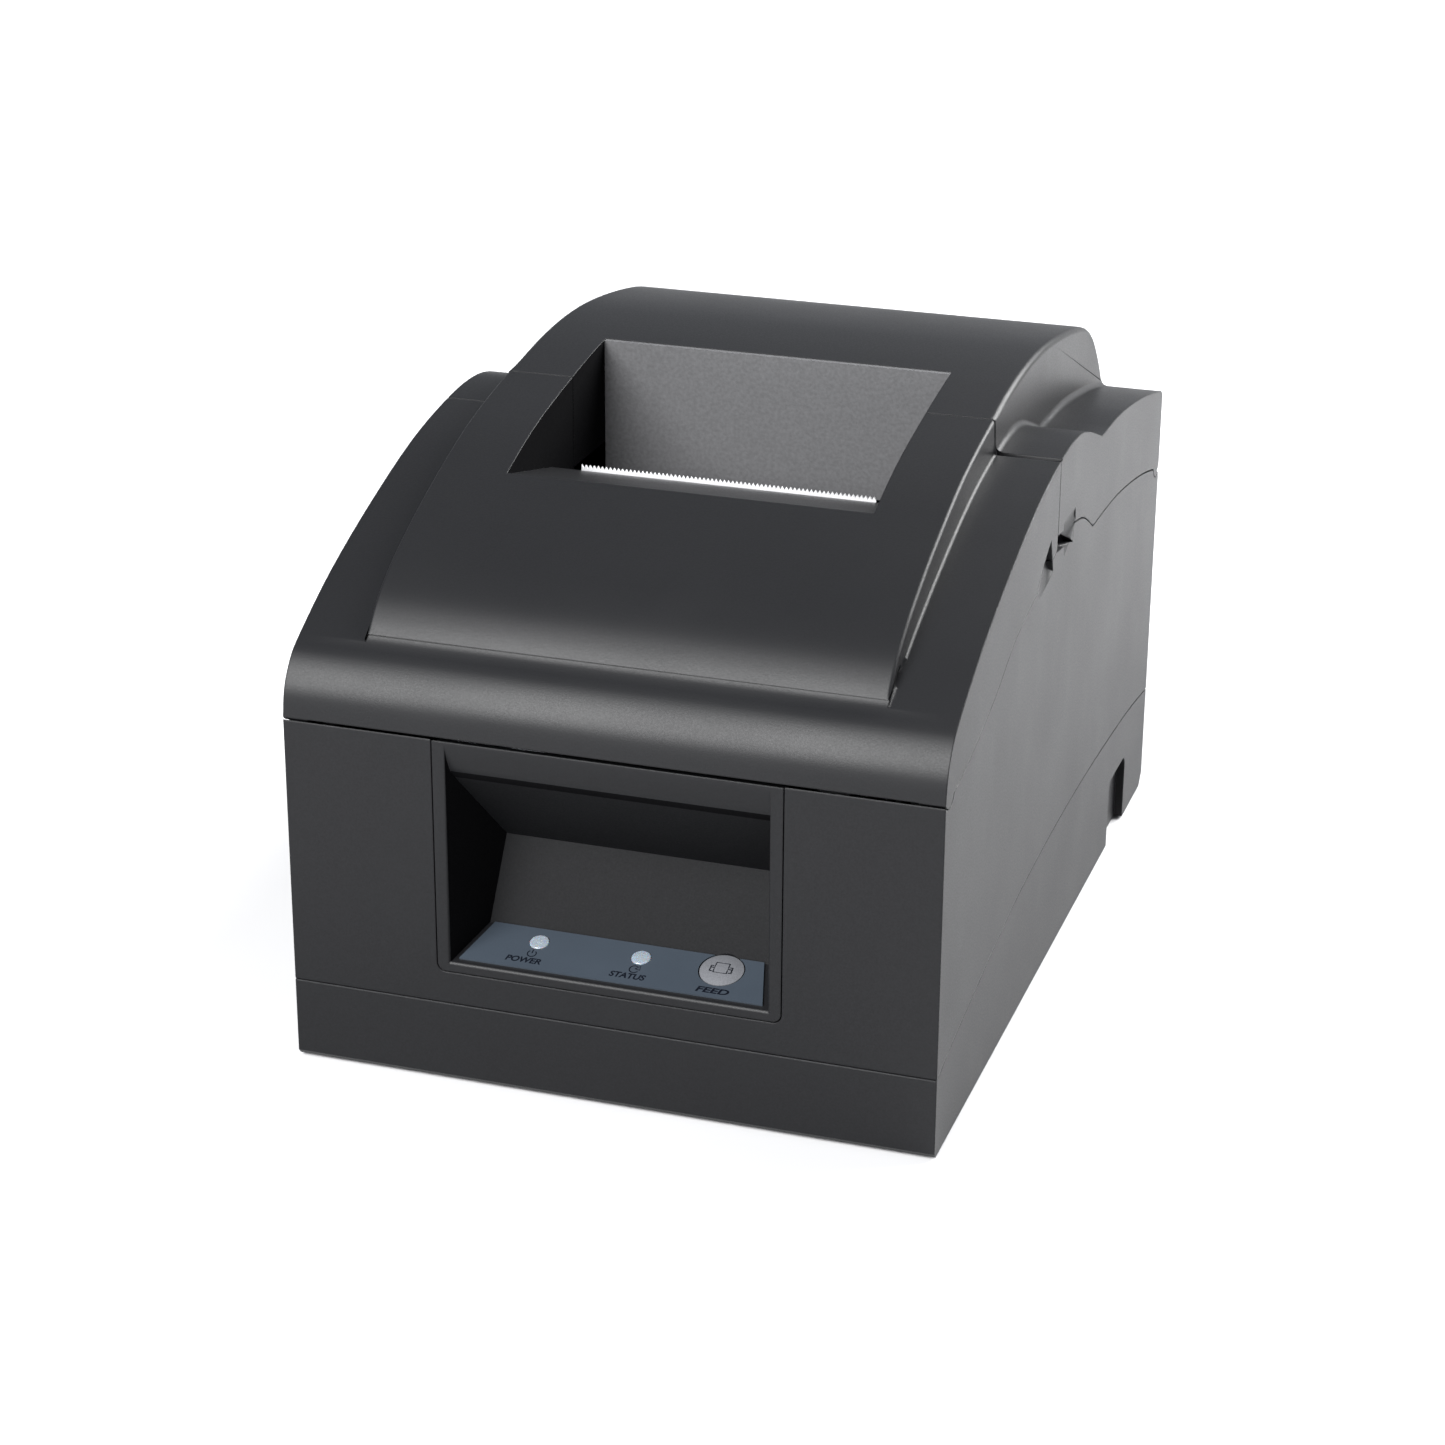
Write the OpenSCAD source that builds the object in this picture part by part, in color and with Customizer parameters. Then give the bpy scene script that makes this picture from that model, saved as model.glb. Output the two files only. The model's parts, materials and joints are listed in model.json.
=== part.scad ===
// Desktop receipt printer with an impact print head, a drop-in paper roll and two lids.
// X is to the right, the front faces -Y and +Z is up. The origin is the centre of the
// footprint at the level that the printer stands on.

/* [Case] */
// Width over the side walls
case_w = 158; // [156:1:162]
// Depth from the front face to the rear face
case_d = 228; // [226:1:232]
// Thickness of the moulded walls
wall = 2.5; // [2.2:0.1:2.8]
// Parting gap between neighbouring mouldings
gap = 0.4; // [0.3:0.1:0.6]
// Height of the case's lower edge above the table
rim_z = 0.8; // [0.6:0.2:1.2]

/* [Lids] */
// Distance from the front face to the line where the two lids meet
lid_split = 102; // [100:1:104]
// Width of the raised middle part of the lids
crown_w = 125; // [122:1:126]
// Width of the paper window
window_w = 90.6; // [86:0.2:92]
// Width of the tear bar
tear_w = 75.6; // [70:0.2:78]

/* [Front panel] */
// Width of the insert in the front wall
insert_w = 84; // [80:0.5:86]
// Diameter of the feed button
button_d = 10.4; // [9:0.1:12]
// Diameter of the indicator windows
lamp_d = 4.7; // [4:0.1:6]
// Travel of the feed button
button_travel = 0.8; // [0.5:0.1:1]

/* [Paper] */
// Inside radius of the paper bucket
bucket_r = 44; // [42:0.5:45]
// Inside width of the paper bucket
bucket_w = 80; // [78:1:82]

/* [Mechanism] */
// Distance between the inner faces of the side frames
frame_gap = 100; // [98:1:100]
// Module of the paper feed gears
gear_module = 1; // [1:0.1:1]
// Teeth of the feed roller gear
feed_teeth = 28; // [28:1:28]
// Teeth of the idler gear
idler_teeth = 32; // [32:1:32]
// Teeth of the motor pinion
pinion_teeth = 12; // [12:1:12]
// Radius of the feed roller
feed_r = 7; // [6.5:0.1:7]
// Radius of the belt pulleys
pulley_r = 6; // [5.5:0.1:6]

/* [Hidden] */
$fn = 48;

half_w = case_w / 2;
front_y = -case_d / 2;
rear_y = case_d / 2;
split_y = front_y + lid_split;
crown_x = crown_w / 2;
window_x = window_w / 2;

// Curves. A point of a side outline is [distance behind the front face, height].
function reversed(p) = [for (i = [len(p) - 1 : -1 : 0]) p[i]];
function raised(p, dz) = [for (q = p) [q[0], q[1] + dz]];
function in_frame(p) = [for (q = p) [front_y + q[0] * case_d / 228, q[1]]];
function smooth(p, n = 4) = [
  for (i = [0 : len(p) - 2], k = [0 : n - 1])
    let (
      a = p[max(i - 1, 0)], b = p[i], c = p[i + 1], d = p[min(i + 2, len(p) - 1)],
      t = k / n
    )
    b + (c - a) * t / 2 + (a - 2.5 * b + 2 * c - d / 2) * t * t
      + (1.5 * b - a / 2 - 1.5 * c + d / 2) * t * t * t,
  p[len(p) - 1]
];
function inset(p, t) = [
  for (i = [0 : len(p) - 1])
    let (
      a = p[max(i - 1, 0)], c = p[min(i + 1, len(p) - 1)],
      u = (c - a) / norm(c - a)
    )
    p[i] + t * [u[1], -u[0]]
];
function between(p, a, b) = concat(
  [[a, lookup(a, p)]],
  [for (q = p) if (q[0] > a + 0.05 && q[0] < b - 0.05) q],
  [[b, lookup(b, p)]]
);

// Outlines of the case seen from the side
rail = in_frame(smooth([
  [0, 88.4], [1.2, 95], [5, 101], [11, 105.3], [29, 114.5], [53, 123.7], [78, 131.4],
  [99, 135.3], [116, 136.6], [130, 134.8], [149, 128]
]));
rear_deck = in_frame(smooth([[149, 128], [174, 127], [204, 122.6], [228, 117.2]]));
crown = in_frame(smooth([
  [10.6, 104.9], [13.6, 109.2], [18.2, 113.9], [24.4, 118.2], [32, 122.4], [48, 129.6], [74, 138.7],
  [102, 144.4], [126, 147.8], [146, 148.6], [164, 147.4], [185, 144.4], [200, 141.1],
  [210, 136.8], [217, 130.9], [223, 124], [227.3, 117.4]
]));
base_seam = in_frame(smooth([
  [0, 21], [16, 24.5], [53, 30.6], [79, 33.8], [118, 35.5], [157, 35.1], [200, 32.8], [228, 29.6]
]));
front_seam = in_frame(smooth([[0, 88], [22, 91.8], [42, 97.5], [62, 105.4], [84, 109.6]]));
notch_seam = in_frame([[100, 113], [106, 114], [119, 110], [120, 114.5]]);
arch_seam = in_frame(smooth([[120, 114.5], [131, 112.2], [142.7, 106.2]]));
rear_seam = in_frame(smooth([[142.7, 106.2], [172, 105.2], [204, 100.7], [228, 95]]));
lid_seam = concat(front_seam, notch_seam, [for (i = [1 : len(arch_seam) - 1]) arch_seam[i]],
  [for (i = [1 : len(rear_seam) - 1]) rear_seam[i]]);
nose_z = 88;

// Lid hinges
pivot_in = 3.2;
front_pivot = [front_y + pivot_in, 91];
rear_pivot = [rear_y - pivot_in, 98];
ear_r = 4.1;
sweep_r = 4.5;
pin_r = 1.2;
ear_x = half_w - 6.2;
hub_x = half_w - 10;
hub_r = 1.9;

// Window and exit
window_front = front_y + 57.6;
exit_y = front_y + 125;
exit_lip = 1.1;
tear_y = front_y + 88;
tear_top = 127;

// Front insert and control panel
insert_bottom = 29.4;
insert_r = 2;
label_tilt = 16.15;
label_y = front_y + 8;
label_z = 33.92;
button_x = 24.5;
power_x = -20.5;
status_x = 4.8;
control_y = 2.6;

// Mechanism, as [y, z]
frame_t = 1.5;
frame_x = frame_gap / 2;
frame_out = frame_x + frame_t;
feed_axis = [-13, 70];
pinch_axis = [-24.6, 70];
pinch_r = 4;
feed_shaft_r = 2.5;
guide_axis = [-46, 74];
guide_r = 4;
rod_axis = [-66, 74];
rod_r = 2.5;
idler_dir = atan2(-18, -24);
idler_span = (feed_teeth + idler_teeth) * gear_module / 2 + 0.2;
idler_axis = feed_axis + idler_span * [cos(idler_dir), sin(idler_dir)];
pinion_dir = 233;
pinion_span = (pinion_teeth + idler_teeth) * gear_module / 2 + 0.2;
pinion_axis = idler_axis + pinion_span * [cos(pinion_dir), sin(pinion_dir)];
gear_x = frame_out + 1.5;
gear_t = 4;
belt_y = -56;
belt_x = 39;
belt_z = 58;
belt_h = 6;
motor_r = 14;
small_motor_r = 10.5;
motor_shaft_r = 1.5;
play = 0.05;
bucket_axis = [54, 96];
bucket_t = 2;
bucket_top = 102;
base_z = 14;
post_x = 42;
post_ys = [-74, -4];
knob_at = [32, -82];

// Rear panel
board_hole_x = 55;
plate_y = rear_y - 2.6;
port_z = 9.6;
switch_at = [-54, 62];

shell_grey = "#34363c";
deck_grey = "#2a2c31";
steel = "#b9bcc0";
board_green = "#1f5a3c";
black = "#17181a";

// Shared shapes
module slab(x0, x1) translate([x0, 0, 0]) rotate([90, 0, 90]) linear_extrude(x1 - x0) children();
module across(x) slab(-x, x) children();
module pair() {
  children();
  mirror([1, 0, 0]) children();
}
module skin(x) pair() slab(x - wall, x) children();
module band(p, t) polygon(concat(p, reversed(inset(p, t))));
module rod_x(x0, x1, at, r) translate([x0, at[0], at[1]]) rotate([0, 90, 0]) cylinder(h = x1 - x0, r = r);
module box(lo, hi) translate(lo) cube(hi - lo);
module on_label() translate([0, label_y, label_z]) rotate([label_tilt, 0, 0]) children();
module gear_outline(teeth, turn, bore) difference() {
  pitch_r = teeth * gear_module / 2;
  root_r = pitch_r - 1.2 * gear_module;
  tip_r = pitch_r + 0.8 * gear_module;
  side = [-0.29, -0.12, 0.12, 0.29];
  reach = [root_r, tip_r, tip_r, root_r];
  polygon([
    for (i = [0 : teeth - 1], k = [0 : 3])
      let (a = turn + 360 / teeth * (i + side[k]))
      reach[k] * [cos(a), sin(a)]
  ]);
  circle(r = bore);
}
function mesh_turn(turn, teeth, dir, next) =
  dir + 180 + 180 / next - (turn - dir) * teeth / next;
module screw(head_r, head_h, shank_r, length) {
  difference() {
    cylinder(h = head_h, r = head_r);
    translate([0, 0, head_h - 1]) linear_extrude(2) {
      square([head_r, 0.9], center = true);
      square([0.9, head_r], center = true);
    }
  }
  translate([0, 0, -length]) cylinder(h = length, r = shank_r);
}

// A finger scoop in a side wall: a round groove that runs out from its deep end to a tip
module scoop(deep, tip, r, depth) {
  run = [depth - 0.3, tip[0] - deep[0], tip[1] - deep[1]];
  translate([half_w + r - depth, deep[0], deep[1]])
    rotate([0, acos(run[2] / norm(run)), atan2(run[1], run[0])])
      cylinder(h = norm(run), r = r);
}
module scoops() pair() {
  scoop([split_y - 5, 114], [split_y - 18.5, 109], 7, 1.9);
  scoop([split_y + 6, 113.6], [split_y + 18, 116.4], 7, 1.9);
  slab(half_w - wall - 1, half_w + 1) polygon([
    [split_y - gap, 117], [split_y + 5.5, 116.5], [split_y + 16, 110.6], [split_y - gap, 112.8]
  ]);
}

// Rounds off a corner of the side outline: where it is, which way the solid lies, radius
module corner_cut(at, into, r) across(half_w + 1) translate(at)
  mirror([into[0] < 0 ? 1 : 0, 0]) mirror([0, into[1] < 0 ? 1 : 0]) difference() {
    translate([-1, -1]) square(r + 1);
    translate([r, r]) circle(r = r);
  }

// Case
module base_outline() polygon(concat(
  [[rear_y, 4], [rear_y - 3, rim_z], [front_y + 1, rim_z], [front_y, 2]],
  raised(base_seam, -gap / 2)
));
module pocket_outline() {
  translate([front_y + 181.5, -1]) square([20.9, 17.5]);
  translate([front_y + 184.5, -1]) square([14.9, 20.5]);
  for (d = [184.5, 199.4]) translate([front_y + d, 16.5]) circle(r = 3);
}
module bottom_case() color(shell_grey) {
  floor_z = rim_z + wall;
  difference() {
    union() {
      difference() {
        across(half_w) base_outline();
        box([-half_w + wall, front_y + wall, floor_z], [half_w - wall, rear_y - wall, 60]);
      }
      box([half_w - 6, front_y + 179, rim_z + 1], [half_w - wall + 0.5, front_y + 205, 23]);
      difference() {
        across(half_w - wall - 0.2) polygon(concat(
          [[rear_y - wall - 0.2, floor_z - 1], [front_y + wall + 0.2, floor_z - 1]],
          between(raised(base_seam, 2), front_y + wall + 0.2, rear_y - wall - 0.2)
        ));
        box([-half_w + wall + 1.4, front_y + wall + 1.4, floor_z - 2],
          [half_w - wall - 1.4, rear_y - wall - 1.4, 60]);
      }
      for (x = [-post_x, post_x], y = post_ys) translate([x, y, floor_z - 1])
        cylinder(h = base_z - floor_z + 1, r = 4);
      for (x = [-board_hole_x, board_hole_x], y = [24, 100]) translate([x, y, floor_z - 1]) cylinder(h = 5.7, r = 3.5);
    }
    slab(half_w - 2.3, half_w + 1) pocket_outline();
    for (x = [-post_x, post_x], y = post_ys) translate([x, y, 6]) cylinder(h = 20, r = 1.5);
    for (x = [-board_hole_x, board_hole_x], y = [24, 100]) translate([x, y, 4]) cylinder(h = 20, r = 1.5);
    for (x = [-67, 67], y = [-99, 86]) {
      translate([x, y, 0]) cylinder(h = 10, r = 1.7);
      translate([x, y, 0]) cylinder(h = 2, r = 4);
    }
    for (x = [-62, 62], y = [-94, 97]) translate([x * 0.88, y, 0]) cylinder(h = 2, r = 7);
    box([-66, rear_y - wall - 3, 7], [66, rear_y + 1, 25.5]);
    for (x = [-24 : 8 : 24]) box([x - 1.5, -60, 0], [x + 1.5, -20, 5]);
  }
}

module hinge_bracket(pivot, sgn) {
  slab(hub_x, hub_x + 3.4) {
    translate(pivot) circle(r = hub_r);
    polygon([
      pivot + [0, hub_r], pivot + [sgn * 8, 1], pivot + [sgn * 8, -17], pivot + [-sgn, -17],
      pivot + [-sgn, -9], pivot + [sgn * 4.5, -7], pivot + [sgn * 5.2, -2], pivot + [0, -hub_r]
    ]);
  }
}
module middle_case() color(shell_grey) difference() {
  union() {
    skin(half_w) polygon(concat(raised(base_seam, gap / 2), reversed(raised(lid_seam, -gap / 2))));
    across(half_w) for (y = [front_y, rear_y - wall]) polygon(concat(
      raised(between(base_seam, y, y + wall), gap / 2),
      [[y + wall, nose_z + (y > 0 ? 7 : 0)], [y, nose_z + (y > 0 ? 7 : 0)]]
    ));
    pair() {
      hinge_bracket(front_pivot, 1);
      hinge_bracket(rear_pivot, -1);
      for (y = [-99, 86]) {
        translate([67, y, 4]) cylinder(h = 36, r = 3.6);
        box([67, y - 1.2, 38], [half_w - 1, y + 1.2, 62]);
        translate([67, y, 38]) cylinder(h = 24, r = 3.6);
      }
      box([half_w - wall - 3, 20, 92], [half_w - wall + 0.5, 88, 95.8]);
    }
    // Rim behind the front insert
    box([-insert_w / 2 - 4, front_y + wall - 1, 25], [insert_w / 2 + 4, front_y + wall + 2, 29]);
  }
  insert_front(0.3, 20);
  difference() {
    union() {
      rod_x(-half_w - 1, half_w + 1, front_pivot, sweep_r);
      rod_x(-half_w - 1, half_w + 1, rear_pivot, sweep_r);
    }
    pair() {
      hinge_bracket(front_pivot, 1);
      hinge_bracket(rear_pivot, -1);
    }
  }
  pair() for (p = [front_pivot, rear_pivot]) rod_x(hub_x - 1, ear_x, p, pin_r + 0.02);
  pair() for (y = [-99, 86]) translate([67, y, 3]) cylinder(h = 20, r = 1.5);
  on_switch([-7, -10, -10.5], [7, 1, 10.5]);
  for (x = [-8 : 6 : 40]) box([x, rear_y - 10, 50], [x + 2.4, rear_y + 1, 74]);
  scoops();
  corner_cut([rear_y, 95 - gap / 2], [-1, -1], 2);
}
module case_screws() color(steel) for (x = [-67, 67], y = [-99, 86])
  translate([x, y, 1.9]) rotate([180, 0, 0]) translate([0, 0, -0.1]) screw(3.2, 1, 1.4, 12);
module rubber_feet() color(black) for (x = [-62, 62], y = [-94, 97])
  translate([x * 0.88, y, 0]) cylinder(h = 2, r = 6.8);

// Front insert with the control panel
module recess_outline() polygon(concat(
  in_frame([[-2, 31.8], [0.7, 31.8], [15.2, 36], [22, 56.4]]),
  in_frame(smooth([[5, 76], [2.2, 79.6], [0.8, 83.4], [0, 87]])),
  in_frame([[-2, 87]])
));
module insert_outline() polygon(in_frame([
  [0, insert_bottom], [3, insert_bottom], [16.6, 33.6], [24.4, 56.6], [8.2, 77], [3.4, 87.6], [0, 87.6]
]));
// The front view of the insert, its lower corners rounded
module insert_front(grow, depth) translate([0, front_y - 1, 0]) rotate([90, 0, 0]) translate([0, 0, -depth])
  linear_extrude(depth) offset(r = grow) {
    translate([-insert_w / 2, insert_bottom + insert_r]) square([insert_w, 80]);
    translate([-insert_w / 2 + insert_r, insert_bottom]) square([insert_w - 2 * insert_r, 20]);
    pair() translate([insert_w / 2 - insert_r, insert_bottom + insert_r]) circle(r = insert_r);
  }
module front_insert() color(shell_grey) difference() {
  intersection() {
    across(insert_w / 2) insert_outline();
    insert_front(0, 40);
  }
  intersection() {
    across(insert_w / 2 - 2.6) recess_outline();
    linear_extrude(100) polygon([
      [-insert_w / 2 + 2.4, front_y - 2], [insert_w / 2 - 2.4, front_y - 2],
      [insert_w / 2 - 9.4, front_y + 23], [-insert_w / 2 + 9.4, front_y + 23]
    ]);
  }
  rod_x(-half_w, half_w, front_pivot, sweep_r);
  on_label() {
    for (x = [power_x, status_x]) translate([x, control_y, -4]) cylinder(h = 8, r = lamp_d / 2 + 0.1);
    translate([button_x, control_y, -4]) cylinder(h = 8, r = button_d / 2 + 0.3);
  }
}
module label_plate() color("#59626e") on_label() difference() {
  linear_extrude(0.5) polygon([
    [-insert_w / 2 + 4.8, -6.6], [insert_w / 2 - 4.8, -6.6],
    [insert_w / 2 - 8.6, 7.2], [-insert_w / 2 + 8.6, 7.2]
  ]);
  for (x = [power_x, status_x]) translate([x, control_y, -1]) cylinder(h = 3, r = lamp_d / 2 + 0.1);
  translate([button_x, control_y, -1]) cylinder(h = 3, r = button_d / 2 + 0.3);
}
module lamp(x) on_label() translate([x, control_y, 0]) {
  translate([0, 0, -7]) cylinder(h = 5, r = 1.5);
  translate([0, 0, -2]) cylinder(h = 2.7, r = lamp_d / 2);
}
module power_lamp() color("#c8c9d2") lamp(power_x);
module status_lamp() color("#c8c9d2") lamp(status_x);
module panel_board() color(board_green) on_label() {
  box([-34, -4.8, -8.6], [34, 7.5, -7]);
  box([button_x - 3, control_y - 3, -7], [button_x + 3, control_y + 3, -6.9]);
}
module feed_button() color("#9fa1a8") on_label() translate([button_x, control_y, 0]) {
  dome_r = 18;
  rise = 1.15;
  intersection() {
    translate([0, 0, -3.6]) cylinder(h = 8, r = button_d / 2);
    translate([0, 0, rise - dome_r]) sphere(r = dome_r, $fn = 96);
  }
  translate([0, 0, -4.5]) cylinder(h = 1.2, r = button_d / 2 + 1.2);
  translate([0, 0, -5.8]) cylinder(h = 5, r = 1.8);
}

// Room in a lid's wall for the hinge hub of the case
module hub_pocket(pivot) pair() slab(hub_x - 0.4, hub_x + 3.8) translate(pivot) {
  circle(r = hub_r + 0.4);
  intersection() {
    circle(r = ear_r + 0.5);
    union() {
      translate([pivot[0] < 0 ? -0.4 : -19.6, -10]) square([20, 20]);
      translate([pivot[0] < 0 ? -hub_r - 0.4 : hub_r - 19.6, -19.5]) square([20, 20]);
    }
  }
}

// Front lid
module ear(pivot) slab(ear_x, half_w) intersection() {
  translate(pivot) circle(r = ear_r);
  polygon(concat(rail, rear_deck, [[rear_y, 60], [front_y, 60]]));
}
module front_cover() color(shell_grey) difference() {
  edge_y = split_y - gap / 2;
  rail_part = between(rail, front_y + 0.01, edge_y);
  crown_part = between(crown, front_y + 10.7, edge_y);
  crown_back = between(crown, front_y + 24.5, edge_y);
  union() {
    difference() {
      union() {
        across(half_w) band(rail_part, wall);
        skin(half_w) polygon(concat(
          raised(between(lid_seam, front_y + 1, edge_y), gap / 2),
          reversed(raised(between(rail, front_y + 1, edge_y), -0.5))
        ));
        across(crown_x) intersection() {
          band(crown_part, wall);
          translate([front_y, 0]) square([edge_y - front_y, 200]);
        }
        skin(crown_x) polygon(concat(
          raised(between(rail, front_y + 20, edge_y), -1),
          reversed(raised(between(crown, front_y + 20, edge_y), -0.5))
        ));
      }
      across(crown_x - wall) polygon(concat(
        inset(crown_back, wall), [[edge_y + 1, 128], [edge_y + 1, 120], [front_y + 27, 105]]
      ));
      box([-window_x, window_front, 100], [window_x, split_y + 1, 160]);
    }
    pair() ear(front_pivot);
    // Sides and ramp of the window
    pair() slab(window_x, window_x + 2) polygon(concat(
      [[edge_y, 119], [tear_y - 4, 119], [window_front - 1, 126]],
      raised(between(crown, window_front - 1, edge_y), -0.8)
    ));
    across(window_x + 0.5) polygon([
      [window_front, 133], [tear_y - 1, 125.6], [tear_y - 1, 120], [tear_y - 3, 120],
      [tear_y - 3, 123.6], [window_front - 1, 130.4], [window_front - 1.5, 132]
    ]);
  }
  pair() rod_x(ear_x - 1, half_w - wall, front_pivot, pin_r + play);
  hub_pocket(front_pivot);
  scoops();
}
module tear_bar() color(steel) {
  pitch = tear_w / 72;
  translate([0, tear_y - 0.4, 0]) rotate([90, 0, 0]) linear_extrude(0.6) polygon(concat(
    [[-tear_w / 2, 120.4], [tear_w / 2, 120.4]],
    [
      for (i = [71 : -1 : 0], k = [1, 0])
        [-tear_w / 2 + (i + k / 2 + 0.25) * pitch, tear_top - (k == 1 ? 0.9 : 0)]
    ]
  ));
}
module front_hinge_pins() color(steel)
  pair() rod_x(hub_x + 0.2, half_w - wall - 0.4, front_pivot, pin_r);

// Rear lid over the paper roll
module roll_cover() color(shell_grey) difference() {
  edge_y = split_y + gap / 2;
  valley_y = front_y + 149 * case_d / 228;
  deck = between(rear_deck, valley_y, rear_y);
  side_line = concat(between(rail, edge_y, valley_y), [for (i = [1 : len(deck) - 1]) deck[i]]);
  crown_part = between(crown, edge_y, front_y + 227.2 * case_d / 228);
  union() {
    difference() {
      union() {
        across(half_w) band(side_line, wall);
        skin(half_w) polygon(concat(
          raised(between(lid_seam, edge_y, rear_y), gap / 2),
          reversed(raised(side_line, -0.5))
        ));
        across(half_w) translate([rear_y - wall, 95 + gap / 2]) square([wall, 21.6]);
        across(crown_x) band(crown_part, wall);
        skin(crown_x) polygon(concat(
          raised(between(side_line, edge_y, rear_y - 2), -1),
          reversed(raised(between(crown, edge_y, rear_y - 2), -0.5))
        ));
      }
      across(crown_x - wall) polygon(concat(
        inset(between(crown, edge_y - 1, rear_y - 9), wall),
        [[rear_y - 9, 110], [edge_y - 1, 120]]
      ));
      box([-window_x, split_y - 1, 100], [window_x, exit_y + exit_lip, 160]);
    }
    pair() ear(rear_pivot);
    pair() slab(window_x, window_x + 2) polygon(concat(
      [[exit_y + 4, 121], [edge_y, 121]], raised(between(crown, edge_y, exit_y + 4), -0.8)
    ));
  }
  pair() rod_x(ear_x - 1, half_w - wall, rear_pivot, pin_r + play);
  hub_pocket(rear_pivot);
  scoops();
  corner_cut([rear_y, 95 + gap / 2], [-1, 1], 2);
  corner_cut([rear_y, 117.2], [-1, -1], 1.6);
}
module exit_wall() color("#63656b") {
  top_z = 145;
  across(window_x) polygon(concat(
    [[exit_y + exit_lip, 113], [exit_y, 113]], raised(between(crown, exit_y, exit_y + exit_lip), -0.15)
  ));
  box([-window_x, exit_y + exit_lip - 0.1, 113], [window_x, exit_y + 2, top_z]);
  pair() for (x = [10, 30]) box([x, exit_y + 2, 116], [x + 1.6, exit_y + 8, top_z - 0.5]);
}
module rear_hinge_pins() color(steel)
  pair() rod_x(hub_x + 0.2, half_w - wall - 0.4, rear_pivot, pin_r);

// Paper bucket and its near-end lever
lever_axis = [62, 60];
lever_arm = 11;
module paper_bucket() color(deck_grey) {
  x = bucket_w / 2;
  difference() {
    across(x + bucket_t) translate(bucket_axis) circle(r = bucket_r + bucket_t, $fn = 96);
    across(x) translate(bucket_axis) circle(r = bucket_r, $fn = 96);
    box([-60, 0, bucket_top], [60, 110, 160]);
    box([-x + 1, 0, 62], [x - 1, bucket_axis[0] - 35, 72]);
    slab(-x - 4, -x + 1) translate(lever_axis + [-5, lever_arm - 5]) square([10, 10]);
  }
  // Shelves that hang on the side walls, and the pin of the lever
  pair() box([x + 1, 20, 96], [half_w - wall - 0.3, 88, 98]);
  rod_x(-x - 6, -x - 1, lever_axis, 1.2);
}
module near_end_lever() color("#8b8e94") {
  x = -bucket_w / 2;
  slab(x - 5, x - 3) difference() {
    union() {
      translate(lever_axis) circle(r = 3);
      translate(lever_axis + [-1.6, 0]) square([3.2, lever_arm]);
      translate(lever_axis + [0, lever_arm]) circle(r = 3);
    }
    translate(lever_axis) circle(r = 1.2 + play);
  }
  rod_x(x - 3.5, x + 1.5, lever_axis + [0, lever_arm], 2.6);
}

// Mechanism
module frame_plate() difference() {
  polygon([[-80, base_z], [2, base_z], [2, 104], [-19, 104], [-19, 84], [-30, 84], [-30, 86], [-80, 86]]);
  translate(feed_axis) circle(r = feed_shaft_r + play);
  translate(pinch_axis) circle(r = 1.5 + play);
  translate(guide_axis) circle(r = guide_r);
  translate(rod_axis) circle(r = rod_r);
  translate([-74, 24]) square([16, 34]);
  translate([-26, 22]) square([20, 20]);
}
module left_frame() color(steel) {
  slab(-frame_out, -frame_x) frame_plate();
  box([-frame_out - 8, -76, base_z], [-frame_out, -66, base_z + 1.5]);
  box([-frame_out - 8, -12, base_z], [-frame_out, -2, base_z + 1.5]);
}
module right_frame() color(steel) {
  slab(frame_x, frame_out) difference() {
    frame_plate();
    translate(pinion_axis) circle(r = 4);
    translate(idler_axis) circle(r = 1.5);
  }
}
module mech_base() color(steel) difference() {
  box([-frame_x, -80, base_z], [frame_x, 2, base_z + 1.5]);
  for (x = [-post_x, post_x], y = post_ys) translate([x, y, base_z - 1]) cylinder(h = 4, r = 1.6);
  for (x = [-20, 8]) box([x, -52, base_z - 1], [x + 12, -22, base_z + 3]);
}
module mech_screws() color(steel) for (x = [-post_x, post_x], y = post_ys)
  translate([x, y, base_z + 1.5]) screw(3, 1.8, 1.45, 8);
module guide_shaft() color(steel) rod_x(-frame_out - 2, frame_out + 1, guide_axis, guide_r);
module guide_rod() color(steel) rod_x(-frame_out - 2, frame_out + 1, rod_axis, rod_r);
module platen() color(black) {
  box([-frame_x, -20.8, 86], [frame_x, -16, 102]);
  box([-40, -16, 90], [40, -12, 98]);
}
module paper_guide() color("#8b8e94") {
  across(bucket_w / 2 + 1) band(smooth([[7, 60], [-2, 54], [-12, 52], [-18, 56], [-19.6, 64]]), 1.2);
  box([-48, -8, 46], [48, 0, 53]);
  pair() box([46, -8, base_z + 1.5], [48, 0, 47]);
}
module carriage() color(black) difference() {
  union() {
    box([-17, -58, 66], [17, -30, 84]);
    box([-12, -71, 68], [12, -58, 80]);
    box([-4, -66.2, 57], [4, -63.6, 70]);
    box([-4, -62, 57], [4, -60, 67]);
    box([-4, -62, 65.4], [4, -57, 68]);
  }
  rod_x(-20, 20, guide_axis, guide_r + play);
  box([-20, -75, rod_axis[1] - rod_r - 0.1], [20, rod_axis[0] + 3.5, rod_axis[1] + rod_r + 0.1]);
}
module print_head() color("#55585e") {
  box([-13, -54, 84], [13, -32, 90]);
  for (i = [0 : 6]) box([-13, -54 + i * 3.4, 90], [13, -52.6 + i * 3.4, 104]);
  box([-9, -54, 90], [9, -32, 101]);
  box([-5, -32, 88], [5, -22.7, 99]);
}
module head_mask() color(steel) difference() {
  box([-11, -22.7, 86.6], [11, -22.3, 100.5]);
  box([-3, -24, 90], [3, -20, 97]);
}
module motor_body(r, h) {
  cylinder(h = h, r = r, $fn = 64);
  translate([0, 0, h]) cylinder(h = 1, r = 4);
}
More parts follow.
